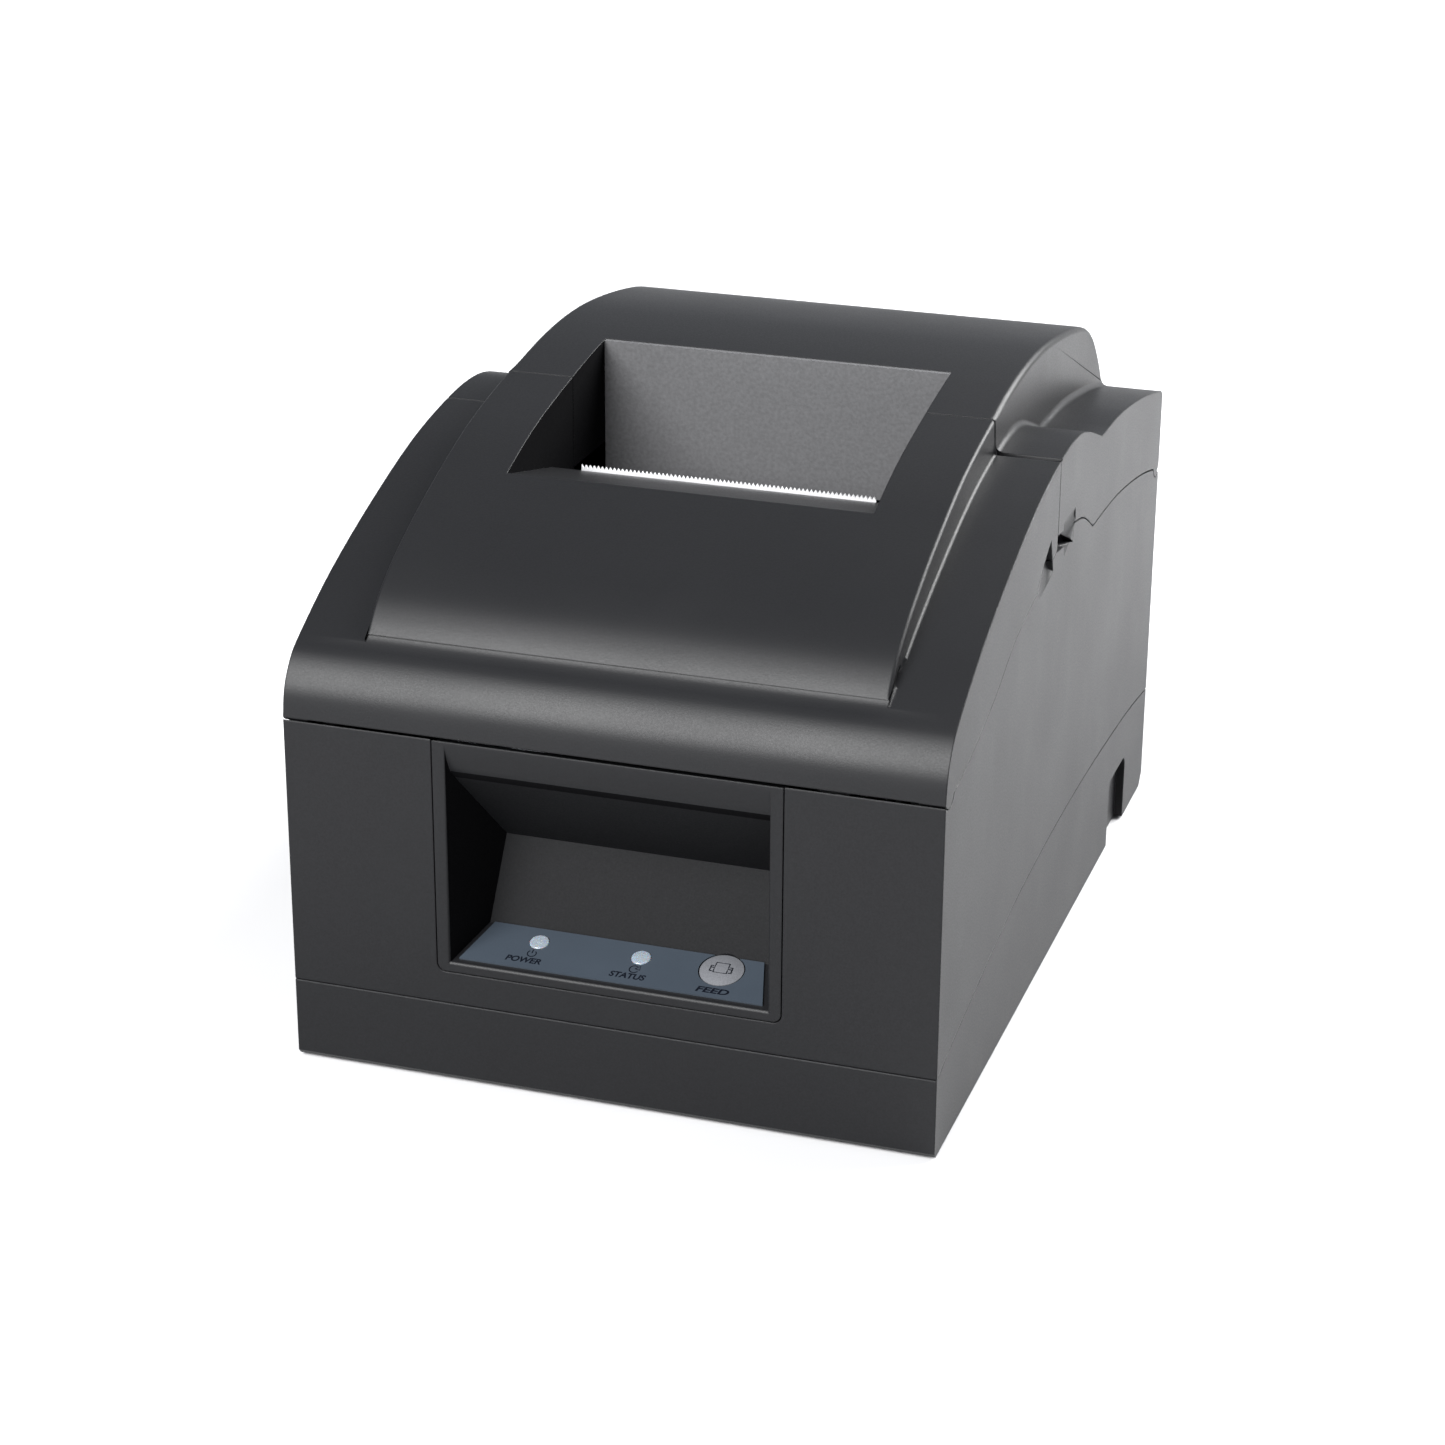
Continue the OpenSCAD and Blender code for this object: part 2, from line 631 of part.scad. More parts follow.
module carriage_motor() color("#7d8086") translate([-belt_x, belt_y, base_z + frame_t]) difference() {
  motor_body(small_motor_r, 32);
  translate([0, 0, 16]) cylinder(h = 30, r = motor_shaft_r + play);
}
module pulley(bottom) {
  cylinder(h = belt_h, r = pulley_r);
  for (z = [-0.8, belt_h]) translate([0, 0, z]) cylinder(h = 0.8, r = pulley_r + 1.5);
  translate([0, 0, bottom]) cylinder(h = -bottom, r = motor_shaft_r);
}
module drive_pulley() color("#8b8e94") translate([-belt_x, belt_y, belt_z]) pulley(-24);
module idler_pulley() color("#8b8e94") translate([belt_x, belt_y, belt_z]) difference() {
  pulley(-2);
  translate([0, 0, -3]) cylinder(h = 12, r = 1.05);
}
module pulley_bracket() color(steel) {
  box([belt_x - 5, belt_y - 5, belt_z - 6], [frame_x, belt_y + 5, belt_z - 2.5]);
  translate([belt_x, belt_y, belt_z - 3]) cylinder(h = 11, r = 1);
}
module belt_line(r) {
  square([2 * belt_x, 2 * r], center = true);
  for (x = [-belt_x, belt_x]) translate([x, 0]) circle(r = r);
}
module timing_belt() color(black) translate([0, belt_y, belt_z + 0.3]) linear_extrude(belt_h - 0.6)
  difference() {
    belt_line(pulley_r + 1.3);
    belt_line(pulley_r + 0.3);
  }
module feed_motor() color("#7d8086") difference() {
  rod_x(22, frame_x, pinion_axis, motor_r);
  rod_x(36, frame_x + 1, pinion_axis, motor_shaft_r + play);
}
feed_turn = idler_dir;
idler_turn = mesh_turn(feed_turn, feed_teeth, idler_dir, idler_teeth);
pinion_turn = mesh_turn(idler_turn, idler_teeth, pinion_dir, pinion_teeth);
module feed_pinion() color("#d8d4c8") {
  slab(gear_x, gear_x + gear_t + 0.5) translate(pinion_axis) gear_outline(pinion_teeth, pinion_turn, 0);
  rod_x(38, gear_x, pinion_axis, motor_shaft_r);
}
module idler_gear() color("#d8d4c8")
  slab(gear_x, gear_x + gear_t) translate(idler_axis) gear_outline(idler_teeth, idler_turn, 2 + play);
module idler_pin() color(steel) {
  rod_x(frame_x, frame_out, idler_axis, 1.5);
  rod_x(frame_out, frame_out + 1, idler_axis, 4);
  rod_x(frame_out + 1, gear_x + gear_t + 0.6, idler_axis, 2);
}
module feed_roller() color("#3b3d42") {
  rod_x(-frame_out - 3, gear_x + gear_t + 1, feed_axis, feed_shaft_r);
  rod_x(-42, 42, feed_axis, 5);
  for (x = [-38 : 19 : 38]) rod_x(x - 6, x + 6, feed_axis, feed_r);
}
module feed_gear() color("#d8d4c8")
  slab(gear_x, gear_x + gear_t) translate(feed_axis) gear_outline(feed_teeth, feed_turn, feed_shaft_r);
module pinch_roller() color("#3b3d42") {
  rod_x(-frame_out - 1, frame_out + 1, pinch_axis, 1.5);
  for (x = [-38 : 19 : 38]) rod_x(x - 5, x + 5, pinch_axis, pinch_r);
}

// Ribbon
module ribbon_cassette() color(black) difference() {
  union() {
    box([-58, -98, 86.2], [58, -66, 101]);
    pair() box([47, -66, 86.2], [56, -21.3, 100]);
    box([-40, -94, 101], [10, -70, 102.2]);
  }
  pair() box([46.9, -21.9, 87], [53, -20, 99.4]);
  translate([knob_at[0], knob_at[1], 80]) cylinder(h = 40, r = 2.5 + play);
}
module ribbon_band() color("#2b2440") box([-52, -21.7, 87.5], [52, -21.5, 99]);
module ribbon_knob() color("#8b8e94") {
  translate([knob_at[0], knob_at[1], 84]) cylinder(h = 18, r = 2.5);
  translate([knob_at[0], knob_at[1], 101.6]) linear_extrude(4.5) difference() {
    circle(r = 8);
    for (a = [0 : 30 : 330]) rotate(a) translate([8.6, 0]) circle(r = 1.4, $fn = 24);
  }
}

// Electronics and rear panel
module main_board() color(board_green) difference() {
  box([-60, 16, 8], [60, 106, 9.6]);
  for (x = [-board_hole_x, board_hole_x], y = [24, 100]) translate([x, y, 7]) cylinder(h = 4, r = 1.6);
}
module board_parts() color("#26282c") {
  box([-16, 44, port_z], [4, 64, 11.8]);
  box([14, 50, port_z], [26, 58, 11.4]);
  for (x = [-50, -38]) translate([x, 56, port_z]) cylinder(h = 16, r = 5);
  box([44, 30, port_z], [56, 50, 22]);
  for (i = [0 : 5]) box([-46 + 6 * i, 22, port_z], [-43 + 6 * i, 26, 14]);
}
port_xs = [-44, -18, 8, 34];
module port_holes(grow) {
  translate([port_xs[0], 17]) circle(r = 5.6 + grow);
  for (p = [[port_xs[1], 13.2, 12.4], [port_xs[2], 12.2, 11], [port_xs[3], 16, 13.4]])
    translate([p[0] - p[1] / 2 - grow, port_z - grow]) square([p[1] + 2 * grow, p[2] + 0.4 + 2 * grow]);
}
module connector_plate() color(steel) difference() {
  box([-65.5, plate_y - 1, 7.3], [65.5, plate_y, 25.2]);
  translate([0, plate_y + 1, 0]) rotate([90, 0, 0]) linear_extrude(5) port_holes(0.3);
  for (x = [-60, 58]) translate([x, plate_y + 1, 16]) rotate([90, 0, 0]) cylinder(h = 4, r = 1.5);
}
module port_shell(x, w, h, depth, t) difference() {
  box([x - w / 2, plate_y - depth, port_z], [x + w / 2, plate_y + 0.6, port_z + 0.4 + h]);
  box([x - w / 2 + t, plate_y - depth + 3, port_z + 0.4 + t], [x + w / 2 - t, plate_y + 2, port_z + 0.4 + h - t]);
}
module power_inlet() color(black) {
  translate([port_xs[0], plate_y + 0.6, 17]) rotate([90, 0, 0]) difference() {
    cylinder(h = 13, r = 5.4);
    translate([0, 0, -1]) cylinder(h = 9, r = 4.5);
  }
  for (q = [[-1.6, 0.8], [1.6, 0.8], [0, -1.8]])
    translate([port_xs[0] + q[0], plate_y - 1, 17 + q[1]]) rotate([90, 0, 0]) cylinder(h = 8, r = 0.5);
  box([port_xs[0] - 4, plate_y - 12.4, port_z], [port_xs[0] + 4, plate_y - 2, 11.9]);
}
module drawer_port() color(black) port_shell(port_xs[1], 13.2, 12.4, 15, 1.4);
module usb_port() color(steel) {
  port_shell(port_xs[2], 12.2, 11, 15, 0.9);
  box([port_xs[2] - 2.8, plate_y - 12, port_z + 4.4], [port_xs[2] + 2.8, plate_y - 3, port_z + 7.6]);
}
module network_port() color(steel) port_shell(port_xs[3], 16, 13.4, 18, 1.2);
module on_switch(lo, hi) translate([switch_at[0], rear_y, switch_at[1]]) box(lo, hi);
module switch_body() color(black) difference() {
  union() {
    on_switch([-6.8, -14, -10.2], [6.8, 0, 10.2]);
    on_switch([-8, -3.6, -11.6], [8, -wall, 11.6]);
  }
  on_switch([-5.4, -10, -9.4], [5.4, 1, 9.4]);
  rod_x(switch_at[0] - 6.4, switch_at[0] + 6.4, [rear_y - 4.6, switch_at[1]], 1 + play);
}
module power_rocker() color("#2b2d31") {
  slab(switch_at[0] - 5, switch_at[0] + 5) translate([rear_y, switch_at[1]]) polygon([
    [-0.9, 0], [-0.2, 8.2], [-3.4, 8.2], [-7, 2], [-7, -2], [-3.4, -8.2], [-1.8, -8.2]
  ]);
  rod_x(switch_at[0] - 6.2, switch_at[0] + 6.2, [rear_y - 4.6, switch_at[1]], 1);
}
module cover_switch() color(black) {
  box([60, -86, 79], [68, -74, 96]);
  box([60, -86, base_z], [62, -74, 80]);
}

bottom_case();
middle_case();
front_insert();
label_plate();
power_lamp();
status_lamp();
panel_board();
feed_button();
front_cover();
tear_bar();
front_hinge_pins();
roll_cover();
exit_wall();
rear_hinge_pins();
paper_bucket();
near_end_lever();
left_frame();
right_frame();
mech_base();
mech_screws();
guide_shaft();
guide_rod();
platen();
paper_guide();
carriage();
print_head();
head_mask();
carriage_motor();
drive_pulley();
idler_pulley();
pulley_bracket();
timing_belt();
feed_motor();
feed_pinion();
idler_gear();
idler_pin();
feed_roller();
feed_gear();
pinch_roller();
ribbon_cassette();
ribbon_band();
ribbon_knob();
main_board();
board_parts();
connector_plate();
power_inlet();
drawer_port();
usb_port();
network_port();
switch_body();
power_rocker();
cover_switch();
case_screws();
rubber_feet();
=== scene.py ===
"""Receipt printer: the finished look of every piece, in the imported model's frame, in metres."""
import json
import math

import bmesh
import bpy
from mathutils import Matrix, Vector

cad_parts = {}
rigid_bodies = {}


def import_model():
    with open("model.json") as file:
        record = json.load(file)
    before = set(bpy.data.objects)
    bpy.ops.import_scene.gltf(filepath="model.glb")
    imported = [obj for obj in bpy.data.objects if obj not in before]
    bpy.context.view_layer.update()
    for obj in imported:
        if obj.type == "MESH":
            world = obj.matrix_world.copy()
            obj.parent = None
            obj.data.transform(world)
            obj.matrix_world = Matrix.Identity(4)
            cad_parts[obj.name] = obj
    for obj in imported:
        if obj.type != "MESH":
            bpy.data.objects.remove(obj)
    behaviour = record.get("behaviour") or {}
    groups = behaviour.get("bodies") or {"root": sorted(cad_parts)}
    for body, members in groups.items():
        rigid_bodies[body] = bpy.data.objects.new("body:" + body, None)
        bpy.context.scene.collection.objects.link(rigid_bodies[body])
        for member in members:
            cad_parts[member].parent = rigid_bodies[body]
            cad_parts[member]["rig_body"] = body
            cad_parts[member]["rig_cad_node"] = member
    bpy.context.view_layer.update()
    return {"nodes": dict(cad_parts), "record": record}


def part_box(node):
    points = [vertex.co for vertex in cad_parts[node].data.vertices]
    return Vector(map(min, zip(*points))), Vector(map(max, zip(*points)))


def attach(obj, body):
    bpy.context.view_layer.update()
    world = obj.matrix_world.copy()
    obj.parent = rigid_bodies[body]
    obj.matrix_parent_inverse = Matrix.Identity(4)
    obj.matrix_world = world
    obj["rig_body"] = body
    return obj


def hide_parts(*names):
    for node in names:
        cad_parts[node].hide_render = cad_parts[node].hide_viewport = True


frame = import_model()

nodes = frame["nodes"]
record = frame["record"]
body_of = {n: body for body, members in record["behaviour"]["bodies"].items() for n in members}
slot_of = {s["node"]: s["material_slot"] for s in record["subparts"]}
MM = 0.001


# ---------------------------------------------------------------- camera, floor and lights
def turned_axes(azimuth, elevation, roll):
    """The right, up and back directions of a camera, from its angles in radians."""
    back = Vector((math.sin(azimuth) * math.cos(elevation),
                   -math.cos(azimuth) * math.cos(elevation), math.sin(elevation)))
    right = Vector((math.cos(azimuth), math.sin(azimuth), 0))
    up = back.cross(right)
    return (right * math.cos(roll) + up * math.sin(roll),
            up * math.cos(roll) - right * math.sin(roll), back)


def place_camera():
    azimuth, elevation, roll = 18.171, 22.457, 0.318
    look_at, distance = Vector((-9.652, 0, 51.784)) * MM, 0.875249
    right, up, back = turned_axes(*(math.radians(a) for a in (azimuth, elevation, roll)))
    camera = bpy.data.objects.new("studio_camera", bpy.data.cameras.new("studio_camera"))
    bpy.context.scene.collection.objects.link(camera)
    camera.matrix_world = Matrix.Translation(look_at + back * distance) @ Matrix((right, up, back)).transposed().to_4x4()
    camera.data.lens = 84.33
    camera.data.sensor_width = 36
    camera.data.clip_start = 0.01
    bpy.context.scene.camera = camera


def soft_light(name, direction, distance, size, radiance):
    """A round area light that looks at the printer from a direction, as bright as its radiance."""
    lamp = bpy.data.lights.new(name, "AREA")
    lamp.shape, lamp.size = "DISK", size
    area = size * size * (math.pi / 4)
    lamp.energy = radiance * area * math.pi
    holder = bpy.data.objects.new(name, lamp)
    bpy.context.scene.collection.objects.link(holder)
    away = Vector(direction).normalized()
    holder.location = Vector((0, 0, 0.08)) + away * distance
    holder.rotation_euler = away.to_track_quat("Z", "Y").to_euler()
    holder.visible_camera = False


# ---------------------------------------------------------------- finishes
class Wire:
    """One value in a finish's node tree, for plain arithmetic."""

    def __init__(self, finish, socket):
        self.finish, self.socket = finish, socket

    def _sum(self, operation, *terms):
        return self.finish.node("Math", {"operation": operation}, dict(enumerate(terms)))

    def __add__(self, other):
        return self._sum("ADD", self, other)

    def __mul__(self, other):
        return self._sum("MULTIPLY", self, other)

    __radd__, __rmul__ = __add__, __mul__


class Finish:
    """A procedural material: what is the same all over is set on the shader, the rest is wired."""

    def __init__(self, name, **constants):
        self.material = bpy.data.materials.new(name)
        self.material.use_nodes = True
        self.tree = self.material.node_tree
        self.tree.nodes.clear()
        self.surface = self.tree.nodes.new("ShaderNodeBsdfPrincipled")
        end = self.tree.nodes.new("ShaderNodeOutputMaterial")
        self.tree.links.new(self.surface.outputs[0], end.inputs[0])
        for key, value in constants.items():
            self.surface.inputs[key.replace("_", " ")].default_value = value

    def node(self, kind, settings=None, inputs=None, out=0):
        made = self.tree.nodes.new("ShaderNode" + kind)
        for key, value in (settings or {}).items():
            if key == "stops":
                ramp = made.color_ramp
                while len(ramp.elements) < len(value):
                    ramp.elements.new(0.5)
                for stop, (at, shade) in zip(ramp.elements, value):
                    stop.position, stop.color = at, (shade, shade, shade, 1)
            else:
                setattr(made, key, value)
        self.wire(made, inputs or {})
        return Wire(self, made.outputs[out])

    def wire(self, made, inputs):
        for key, value in inputs.items():
            if isinstance(value, Wire):
                self.tree.links.new(value.socket, made.inputs[key])
            else:
                made.inputs[key].default_value = value

    def place(self, stretch=(1, 1, 1)):
        """Where a point is on the object, stretched along the axes."""
        here = self.node("TexCoord", out="Object")
        return self.node("Mapping", None, {"Vector": here, "Scale": stretch})

    def noise(self, grain, detail=2, stretch=(1, 1, 1), roughness=0.5):
        """Noise whose blotches are about grain millimetres across."""
        return self.node("TexNoise", None, {
            "Vector": self.place(stretch), "Scale": 1000 / grain, "Detail": detail, "Roughness": roughness})

    def steps(self, value, *stops):
        return self.node("ValToRGB", {"stops": stops}, {0: value})

    def tint(self, share, low, high):
        """A colour between two others."""
        low, high = ((*c, 1) if isinstance(c, tuple) else c for c in (low, high))
        return self.node("Mix", {"data_type": "RGBA"}, {0: share, 6: low, 7: high}, out=2)

    def relief(self, height, depth, strength=1, over=None):
        """Bumps of depth millimetres."""
        wires = {"Height": height, "Distance": depth * MM, "Strength": strength}
        if over:
            wires["Normal"] = over
        return self.node("Bump", None, wires)

    def dress(self, **inputs):
        self.wire(self.surface, {k.replace("_", " "): v for k, v in inputs.items()})
        return self.material


def shade(colour, by):
    return tuple(min(1, c * by) for c in colour)


def moulded(name, colour, roughness, grain=0.42, depth=0.02, edge=0, **constants):
    """Injection-moulded plastic with a spark-eroded grain, faint flow blotches and handling marks.
    Its edges catch the light as if they were rounded by edge millimetres."""
    f = Finish(name, **constants)
    soft = f.node("Bevel", {"samples": 4}, {"Radius": edge * MM}) if edge else None
    fine = f.noise(grain, 2)
    coarse = f.noise(grain * 2.6, 3)
    blotch = f.noise(38, 3)
    rub = f.steps(f.noise(21, 5, (1, 1.6, 0.8), 0.65), (0.52, 0), (0.8, 1))
    speck = f.steps(fine, (0.30, 0), (0.74, 1))
    body = f.tint(speck, shade(colour, 0.80), shade(colour, 1.24))
    body = f.tint(blotch * 0.35, body, shade(colour, 1.18))
    return f.dress(
        Base_Color=body,
        Roughness=(speck * -0.08) + (rub * -0.02) + (blotch * 0.08) + (roughness + 0.03),
        Normal=f.relief(fine * 0.7 + coarse * 0.3, depth, over=soft))


def brushed(name, colour, roughness, along=(0.03, 1, 1), depth=0.004):
    """Rolled or plated metal with fine lines along one direction and a few dull spots."""
    f = Finish(name, Metallic=1.0)
    lines = f.noise(0.25, 3, along, 0.6)
    wide = f.noise(3.5, 2, along)
    stain = f.steps(f.noise(14, 4), (0.5, 0), (0.8, 1))
    body = f.tint(lines, shade(colour, 0.82), shade(colour, 1.12))
    body = f.tint(stain * 0.35, body, shade(colour, 0.66))
    return f.dress(
        Base_Color=body, Roughness=lines * 0.16 + wide * 0.08 + stain * 0.1 + (roughness - 0.1),
        Normal=f.relief(lines, depth))


def cast(name, colour, roughness):
    f = Finish(name, Metallic=1.0)
    skin = f.noise(0.8, 4, roughness=0.65)
    patch = f.noise(9, 3)
    return f.dress(
        Base_Color=f.tint(skin * 0.6 + patch * 0.4, shade(colour, 0.7), shade(colour, 1.25)),
        Roughness=skin * 0.22 + roughness, Normal=f.relief(skin, 0.03))


def ground_rubber(name, colour):
    f = Finish(name, Specular_IOR_Level=0.35)
    pores = f.noise(0.3, 3, (0.5, 1, 1), 0.7)
    dust = f.steps(f.noise(6, 4), (0.45, 0), (0.8, 1))
    return f.dress(
        Base_Color=f.tint(pores * 0.5 + dust * 0.5, shade(colour, 0.8), shade(colour, 1.9)),
        Roughness=pores * 0.14 + dust * 0.08 + 0.62, Normal=f.relief(pores, 0.02))


def woven_ribbon(name, colour):
    f = Finish(name, Sheen_Weight=0.3)
    warp = f.node("TexWave", {"bands_direction": "X"}, {"Vector": f.place(), "Scale": 900.0})
    weft = f.node("TexWave", {"bands_direction": "Z"}, {"Vector": f.place(), "Scale": 900.0})
    ink = f.noise(4, 4)
    weave = warp * weft
    return f.dress(
        Base_Color=f.tint(ink * 0.6 + weave * 0.4, shade(colour, 0.5), shade(colour, 1.9)),
        Roughness=weave * 0.2 + 0.6, Normal=f.relief(weave, 0.02))


def circuit_board(name, colour):
    f = Finish(name, Coat_Weight=0.35, Coat_Roughness=0.12)
    fibre = f.noise(0.7, 2)
    trace = f.steps(f.node("TexWave", {"bands_direction": "DIAGONAL"}, {
        "Vector": f.place((1, 1, 0)), "Scale": 95.0, "Distortion": 9.0, "Detail": 1.0}), (0.44, 0), (0.5, 1))
    lands = f.steps(f.noise(11, 1), (0.44, 0), (0.46, 1))
    body = f.tint(trace * lands, shade(colour, 0.75), shade(colour, 1.6))
    return f.dress(
        Base_Color=f.tint(fibre * 0.25, body, shade(colour, 1.3)),
        Roughness=trace * 0.08 + fibre * 0.08 + 0.3, Normal=f.relief(trace * lands, 0.03))


def label_film(name, colour):
    """Printed polyester film: a faint matt stipple and slow shade changes."""
    f = Finish(name, Specular_IOR_Level=0.5)
    stipple = f.noise(0.22, 2)
    cloud = f.noise(17, 3)
    return f.dress(
        Base_Color=f.tint(stipple * 0.45 + cloud * 0.55, shade(colour, 0.82), shade(colour, 1.2)),
        Roughness=stipple * 0.12 + cloud * 0.06 + 0.3, Normal=f.relief(stipple, 0.006))


def lens(name, colour):
    f = Finish(name, Transmission_Weight=0.25, Subsurface_Weight=0.3, Coat_Weight=0.5)
    frost = f.noise(0.5, 2)
    return f.dress(
        Base_Color=f.tint(frost, shade(colour, 0.9), shade(colour, 1.25)),
        Roughness=frost * 0.15 + 0.18, Normal=f.relief(frost, 0.004))


def painted(name, colour):
    """Screen-printed ink."""
    f = Finish(name, Specular_IOR_Level=0.1)
    fleck = f.noise(0.18, 2)
    return f.dress(
        Base_Color=f.tint(fleck, shade(colour, 0.86), shade(colour, 1.1)), Roughness=fleck * 0.2 + 0.45)


slot_colour = {m["slot"]: tuple(m["base_color"]) for m in record["materials"]}
finishes = {
    "shell": moulded("shell", shade(slot_colour["shell"], 0.8), 0.37, edge=0.5, Specular_IOR_Level=0.175),
    "exit": moulded("exit", shade(slot_colour["exit"], 0.5), 0.5, grain=0.9, depth=0.05),
    "deck": moulded("deck", slot_colour["deck"], 0.5),
    "grey_plastic": moulded("grey_plastic", slot_colour["grey_plastic"], 0.45),
    "black_plastic": moulded("black_plastic", slot_colour["black_plastic"], 0.4),
    "gear_plastic": moulded("gear_plastic", slot_colour["gear_plastic"], 0.38, grain=1.2, depth=0.006),
    "chips": moulded("chips", slot_colour["chips"], 0.45, grain=0.3, depth=0.01),
    "button": moulded("button", shade(slot_colour["button"], 0.28), 0.33, grain=0.3, depth=0.006),
    "label": label_film("label", shade(slot_colour["label"], 0.26)),
    # Painted shade: darker, duller finishes for the faces that lie in deep shade, in the recess and the paper
    # window
    "painted_recess_shade": moulded("painted_recess_shade", (0.0022, 0.0022, 0.0025), 0.75, grain=0.6, Specular_IOR_Level=0.02),
    "painted_recess_back_shade": moulded("painted_recess_back_shade", shade(slot_colour["shell"], 0.6), 0.5, Specular_IOR_Level=0.08),
    "lamp": lens("lamp", shade(slot_colour["lamp"], 0.42)),
    "steel": brushed("steel", slot_colour["steel"], 0.34),
    "motor_can": brushed("motor_can", slot_colour["motor_can"], 0.36, (1, 1, 0.03)),
    "head_alloy": cast("head_alloy", slot_colour["head_alloy"], 0.38),
    "rubber": ground_rubber("rubber", slot_colour["rubber"]),
    "ribbon": woven_ribbon("ribbon", slot_colour["ribbon"]),
    "board": circuit_board("board", slot_colour["board"]),
}
dark_ink = painted("dark_ink", (0.002, 0.003, 0.006))
lamp_white = painted("lamp_white", (0.7, 0.72, 0.74))
tear_steel = brushed("tear_steel", (0.5, 0.5, 0.51), 0.42)
tear_steel.node_tree.nodes["Principled BSDF"].inputs["Metallic"].default_value = 0.25
gold = brushed("gold_contact", (0.83, 0.62, 0.28), 0.28)


# ---------------------------------------------------------------- making pieces
def only(*pieces):
    """Nothing but these pieces selected, the first of them active."""
    if bpy.context.object and bpy.context.object.mode != "OBJECT":
        bpy.ops.object.mode_set(mode="OBJECT")
    bpy.ops.object.select_all(action="DESELECT")
    for piece in pieces:
        piece.hide_set(False)
        piece.select_set(True)
    bpy.context.view_layer.objects.active = pieces[0] if pieces else None


def edit(piece, kind="EDGE"):
    only(piece)
    bpy.ops.object.mode_set(mode="EDIT")
    bpy.ops.mesh.select_mode(type=kind)


def done():
    bpy.ops.object.mode_set(mode="OBJECT")


def pick_edges(piece, test, sharper=24):
    """In edit mode: selects the edges sharper than an angle whose middle and direction pass the test."""
    mesh = bmesh.from_edit_mesh(piece.data)
    bpy.ops.mesh.select_all(action="DESELECT")
    found = 0
    for e in mesh.edges:
        if len(e.link_faces) != 2 or e.calc_face_angle(0) < math.radians(sharper):
            continue
        a, b = e.verts[0].co, e.verts[1].co
        if test((a + b) / 2 / MM, (b - a).normalized(), e):
            e.select = True
            found += 1
    mesh.select_flush_mode()
    bmesh.update_edit_mesh(piece.data)
    return found


def pick_faces(piece, test):
    """In edit mode: selects the faces whose middle and normal pass the test."""
    mesh = bmesh.from_edit_mesh(piece.data)
    bpy.ops.mesh.select_all(action="DESELECT")
    for f in mesh.faces:
        if test(f.calc_center_median() / MM, f.normal):
            f.select = True
    mesh.select_flush_mode()
    bmesh.update_edit_mesh(piece.data)


def merged_copy(node, name):
    """A copy of a CAD node with its loose triangles joined and its flat faces made whole."""
    only(nodes[node])
    bpy.ops.object.duplicate()
    piece = bpy.context.object
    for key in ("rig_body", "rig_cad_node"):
        del piece[key]
    piece.parent = None
    piece.matrix_world = Matrix.Identity(4)
    piece.name = piece.data.name = name
    edit(piece, "VERT")
    bpy.ops.mesh.select_all(action="SELECT")
    bpy.ops.mesh.remove_doubles(threshold=3e-6)
    bpy.ops.mesh.customdata_custom_splitnormals_clear()
    bpy.ops.mesh.dissolve_limited(angle_limit=math.radians(0.4))
    done()
    return piece


def round_edges(piece, width, test, segments=3, sharper=24, clamp=False):
    """Rounds the chosen edges; width in millimetres."""
    edit(piece)
    if pick_edges(piece, test, sharper):
        bpy.ops.mesh.bevel(offset=width * MM, segments=segments, affect="EDGES",
                           clamp_overlap=clamp, miter_outer="ARC", offset_type="OFFSET")
    done()


def finish_piece(piece, finish, body, replaces=(), smooth=35, even=False):
    """Smooths a piece, gives it its finish and body, and lets it stand for CAD nodes if it does."""
    only(piece)
    bpy.ops.object.shade_smooth_by_angle(angle=math.radians(smooth))
    if even:
        piece.modifiers.new("even_normals", "WEIGHTED_NORMAL").keep_sharp = True
        bpy.ops.object.modifier_apply(modifier="even_normals")
    piece.data.materials.clear()
    piece.data.materials.append(finishes[finish] if isinstance(finish, str) else finish)
    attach(piece, body)
    if replaces:
        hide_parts(*replaces)
    return piece


def corners(node):
    """The lowest and highest corner of a CAD node, in millimetres."""
    low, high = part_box(node)
    return low / MM, high / MM


def block(low, high, soft=0.2, taper=None):
    """A box between two corners, in millimetres, its edges rounded; taper narrows its top face."""
    low, high = Vector(low), Vector(high)
    only()
    bpy.ops.mesh.primitive_cube_add(size=1, location=(low + high) / 2 * MM)
    piece = bpy.context.object
    piece.scale = (high - low) * MM
    bpy.ops.object.transform_apply(location=True, rotation=True, scale=True)
    edit(piece)
    if taper:
        pick_faces(piece, lambda at, n: n.z > 0.9)
        bpy.ops.transform.resize(value=(taper, taper, 1))
    bpy.ops.mesh.select_all(action="SELECT")
    bpy.ops.mesh.bevel(offset=soft * MM, segments=2, affect="EDGES")
    done()
    return piece


TURNS = {"Z": Matrix.Identity(4), "X": Matrix.Rotation(math.pi / 2, 4, "Y"),
         "Y": Matrix.Rotation(-math.pi / 2, 4, "X")}


def stand(piece, at, axis):
    """Sets a piece made upright at the origin down at a point, along an axis."""
    piece.data.transform(Matrix.Translation(Vector(at) * MM) @ TURNS[axis])
    return piece


def drum(at, radius, height, axis="Z", soft=0.2, sides=32, dish=0.0):
    """A round piece standing at a point along an axis, rims rounded, its far face sunk by dish."""
    only()
    bpy.ops.mesh.primitive_cylinder_add(radius=radius * MM, depth=height * MM, vertices=sides,
                                        location=(0, 0, height / 2 * MM))
    piece = bpy.context.object
    bpy.ops.object.transform_apply(location=True, rotation=True, scale=True)
    edit(piece)
    if dish:
        pick_faces(piece, lambda where, n: n.z > 0.9)
        bpy.ops.mesh.inset(thickness=radius * 0.3 * MM)
        bpy.ops.transform.translate(value=(0, 0, -dish * MM))
    pick_edges(piece, lambda where, way, e: abs(way.z) < 0.5, 40)
    bpy.ops.mesh.bevel(offset=soft * MM, segments=2, affect="EDGES")
    done()
    return stand(piece, at, axis)


